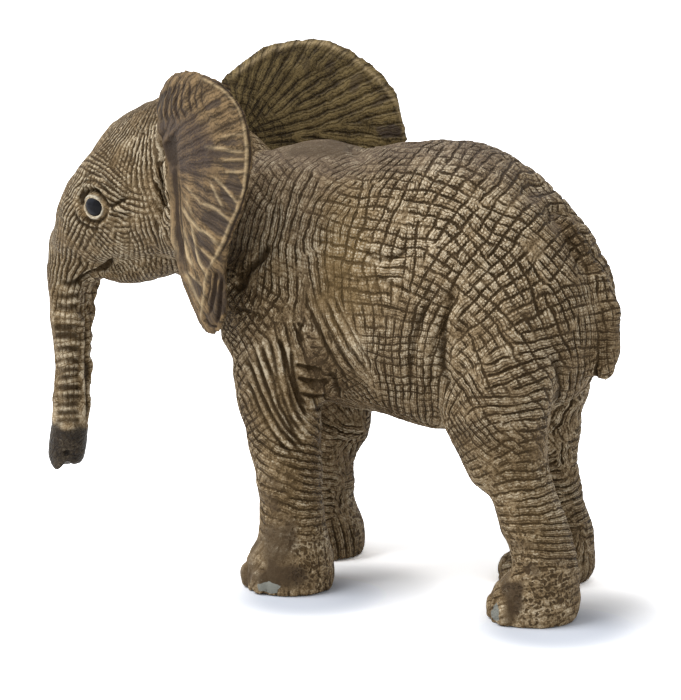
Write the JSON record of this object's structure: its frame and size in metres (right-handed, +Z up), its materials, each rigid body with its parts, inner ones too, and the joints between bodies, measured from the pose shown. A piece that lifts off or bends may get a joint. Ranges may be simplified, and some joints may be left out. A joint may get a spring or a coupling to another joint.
{
  "type": "toy elephant calf figure",
  "caption": "Standing toy elephant calf in painted soft plastic, with flared ears, a hanging trunk, four straight legs with flat soles and a short tail against the rump.",
  "frame": {"origin": "on the ground under the middle of the figure's bounding box", "axes": "+Z up, head towards -X, tail towards +X, the animal's left side towards -Y"},
  "size_m": [0.0828, 0.0442, 0.0688],
  "materials": {
    "body_paint": "tan dry brushing over a dark brown wash in deep cross-hatched wrinkles, matt",
    "head_paint": "tan dry brushing over brown wash, dark trunk tip, glossy black painted eyes",
    "ear_paint": "purplish brown with tan veins and rim, matt",
    "leg_paint": "tan dry brushing over dark brown wash, darker feet with pale nails, matt"
  },
  "bodies": {
    "root": {"torso": "body_paint", "head_and_trunk": "head_paint", "left_ear": "ear_paint", "right_ear": "ear_paint", "left_foreleg": "leg_paint", "right_foreleg": "leg_paint", "left_hind_leg": "leg_paint", "right_hind_leg": "leg_paint", "tail": "body_paint"}
  },
  "joints": []
}
